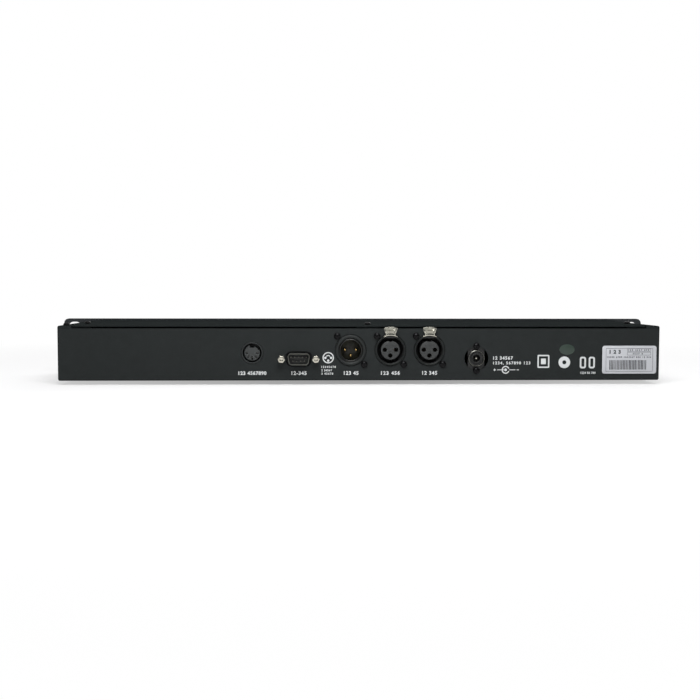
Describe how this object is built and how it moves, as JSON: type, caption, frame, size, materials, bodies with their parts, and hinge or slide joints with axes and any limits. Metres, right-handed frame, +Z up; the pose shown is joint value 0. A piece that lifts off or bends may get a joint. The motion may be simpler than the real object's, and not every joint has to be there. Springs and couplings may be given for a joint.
{
  "type": "dmx recorder",
  "caption": "Rack mounted lighting control recorder with display, jog wheel and keys in front, and sockets for control signals, fog machine, serial link and power behind",
  "frame": {"origin": "under the middle of the whole, on the surface that the feet stand on", "axes": "+Z up, -Y the front panel with the controls, +Y the rear wall with the sockets, X along the rack's width"},
  "size_m": [0.4826, 0.1326, 0.0456],
  "materials": {
    "case_black": "textured powder coat",
    "panel_black": "satin",
    "screw_black": "black zinc",
    "nickel": "nickel plated",
    "socket_cast": "dark die cast",
    "black_plastic": "satin",
    "key_grey": "satin",
    "key_red": "satin",
    "smoked_window": "clear smoked",
    "display": "satin",
    "circuit_board": "solder mask",
    "ribbon_grey": "satin",
    "rubber": "matte"
  },
  "bodies": {
    "case": {"chassis": "case_black", "corner_screw": "screw_black", "cover_screw_left": "screw_black", "cover_screw_middle": "screw_black", "cover_screw_right": "screw_black", "dc_jack_body": "black_plastic", "dc_jack_ring": "nickel", "dc_screw_lower": "screw_black", "dc_screw_upper": "screw_black", "din_insert": "black_plastic", "din_shell": "black_plastic", "dmx_in_body": "socket_cast", "dmx_in_insert": "black_plastic", "dmx_in_screw_lower": "screw_black", "dmx_in_screw_upper": "screw_black", "dmx_out_body": "socket_cast", "dmx_out_insert": "black_plastic", "dmx_out_screw_lower": "screw_black", "dmx_out_screw_upper": "screw_black", "foot_front_left": "rubber", "foot_front_right": "rubber", "foot_rear_left": "rubber", "foot_rear_right": "rubber", "front_board": "circuit_board", "front_panel": "panel_black", "fx_out_body": "socket_cast", "fx_out_insert": "black_plastic", "fx_out_screw_lower": "screw_black", "fx_out_screw_upper": "screw_black", "jog_encoder": "nickel", "jog_nut": "nickel", "lcd_module": "display", "lcd_window": "smoked_window", "main_board": "circuit_board", "power_lead": "black_plastic", "power_switch_body": "black_plastic", "ribbon_cable": "ribbon_grey", "serial_insert": "black_plastic", "serial_jackscrew_left": "nickel", "serial_jackscrew_right": "nickel", "serial_shell": "nickel", "top_cover": "case_black"},
    "key_enter": {"key_enter": "key_grey"},
    "key_fog": {"key_fog": "key_red"},
    "key_menu": {"key_menu": "key_grey"},
    "key_play": {"key_play": "key_grey"},
    "key_record": {"key_record": "key_red"},
    "key_stop": {"key_stop": "key_grey"},
    "program_key_1": {"program_key_1": "key_grey"},
    "program_key_2": {"program_key_2": "key_grey"},
    "program_key_3": {"program_key_3": "key_grey"},
    "program_key_4": {"program_key_4": "key_grey"},
    "program_key_5": {"program_key_5": "key_grey"},
    "program_key_6": {"program_key_6": "key_grey"},
    "program_key_7": {"program_key_7": "key_grey"},
    "program_key_8": {"program_key_8": "key_grey"},
    "dmx_out_latch": {"dmx_out_latch": "nickel"},
    "fx_out_latch": {"fx_out_latch": "nickel"},
    "power_rocker": {"power_rocker": "black_plastic"},
    "jog_wheel": {"jog_wheel": "black_plastic"}
  },
  "joints": [
    {"name": "key_enter_press", "type": "slide", "parent": "case", "child": "key_enter", "axis": [0, 1, 0], "range_m": [0, 0.0008], "stiffness_N_per_m": 250},
    {"name": "key_fog_press", "type": "slide", "parent": "case", "child": "key_fog", "axis": [0, 1, 0], "range_m": [0, 0.0008], "stiffness_N_per_m": 250},
    {"name": "key_menu_press", "type": "slide", "parent": "case", "child": "key_menu", "axis": [0, 1, 0], "range_m": [0, 0.0008], "stiffness_N_per_m": 250},
    {"name": "key_play_press", "type": "slide", "parent": "case", "child": "key_play", "axis": [0, 1, 0], "range_m": [0, 0.0008], "stiffness_N_per_m": 250},
    {"name": "key_record_press", "type": "slide", "parent": "case", "child": "key_record", "axis": [0, 1, 0], "range_m": [0, 0.0008], "stiffness_N_per_m": 250},
    {"name": "key_stop_press", "type": "slide", "parent": "case", "child": "key_stop", "axis": [0, 1, 0], "range_m": [0, 0.0008], "stiffness_N_per_m": 250},
    {"name": "program_key_1_press", "type": "slide", "parent": "case", "child": "program_key_1", "axis": [0, 1, 0], "range_m": [0, 0.0008], "stiffness_N_per_m": 250},
    {"name": "program_key_2_press", "type": "slide", "parent": "case", "child": "program_key_2", "axis": [0, 1, 0], "range_m": [0, 0.0008], "stiffness_N_per_m": 250},
    {"name": "program_key_3_press", "type": "slide", "parent": "case", "child": "program_key_3", "axis": [0, 1, 0], "range_m": [0, 0.0008], "stiffness_N_per_m": 250},
    {"name": "program_key_4_press", "type": "slide", "parent": "case", "child": "program_key_4", "axis": [0, 1, 0], "range_m": [0, 0.0008], "stiffness_N_per_m": 250},
    {"name": "program_key_5_press", "type": "slide", "parent": "case", "child": "program_key_5", "axis": [0, 1, 0], "range_m": [0, 0.0008], "stiffness_N_per_m": 250},
    {"name": "program_key_6_press", "type": "slide", "parent": "case", "child": "program_key_6", "axis": [0, 1, 0], "range_m": [0, 0.0008], "stiffness_N_per_m": 250},
    {"name": "program_key_7_press", "type": "slide", "parent": "case", "child": "program_key_7", "axis": [0, 1, 0], "range_m": [0, 0.0008], "stiffness_N_per_m": 250},
    {"name": "program_key_8_press", "type": "slide", "parent": "case", "child": "program_key_8", "axis": [0, 1, 0], "range_m": [0, 0.0008], "stiffness_N_per_m": 250},
    {"name": "dmx_out_latch_press", "type": "hinge", "parent": "case", "child": "dmx_out_latch", "pos_m": [-0.021, 0.0558, 0.0363], "axis": [-1, 0, 0], "range_deg": [0, 8], "stiffness_Nm_per_rad": 0.05},
    {"name": "fx_out_latch_press", "type": "hinge", "parent": "case", "child": "fx_out_latch", "pos_m": [-0.0496, 0.0558, 0.0363], "axis": [-1, 0, 0], "range_deg": [0, 8], "stiffness_Nm_per_rad": 0.05},
    {"name": "power_rocker_tilt", "type": "hinge", "parent": "case", "child": "power_rocker", "pos_m": [-0.19048, -0.0513, 0.023], "axis": [-1, 0, 0], "range_deg": [0, 18]},
    {"name": "jog_wheel_spin", "type": "hinge", "parent": "case", "child": "jog_wheel", "pos_m": [-0.0367, -0.0595, 0.023], "axis": [0, 1, 0], "continuous": true}
  ]
}
